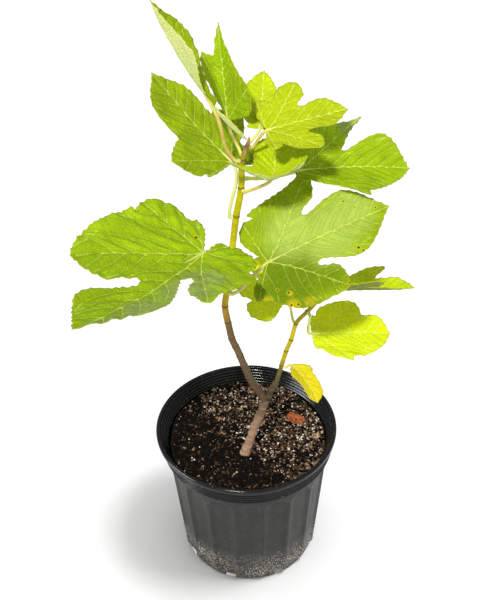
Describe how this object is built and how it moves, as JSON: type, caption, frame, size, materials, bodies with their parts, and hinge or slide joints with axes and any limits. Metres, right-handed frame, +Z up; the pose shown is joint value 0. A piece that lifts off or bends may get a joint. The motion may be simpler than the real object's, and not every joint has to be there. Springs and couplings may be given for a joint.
{
  "type": "potted fig tree",
  "caption": "Young fig tree with a bent, forked stem and broad lobed leaves, growing in a fluted black plastic nursery pot filled with potting soil.",
  "frame": {"origin": "centre of the pot's flat underside, on the ground", "axes": "+Z up along the pot's axis, +X to the right and -Y to the front as the plant is pictured"},
  "size_m": [0.2665, 0.2521, 0.5648],
  "materials": {
    "pot_plastic": "satin",
    "potting_soil": "matte",
    "bark": "matte",
    "green_shoot": "satin",
    "foliage": "satin",
    "yellow_foliage": "satin"
  },
  "bodies": {
    "root": {"pot": "pot_plastic", "soil": "potting_soil", "trunk": "bark", "main_shoot_lower": "bark", "main_shoot_upper": "green_shoot", "side_shoot_lower": "green_shoot", "side_shoot_upper": "green_shoot", "leaf_lower_left": "foliage", "leaf_middle_right": "foliage", "leaf_upper_left": "foliage", "leaf_top_folded": "foliage", "leaf_top_upright": "foliage", "leaf_crown_right": "foliage", "leaf_crown_back": "foliage", "leaf_right_wide": "foliage", "leaf_crown_cupped": "foliage", "leaf_right_folded": "foliage", "leaf_lower_right": "foliage", "leaf_yellow_small": "yellow_foliage", "leaf_behind_middle": "foliage"}
  },
  "joints": []
}
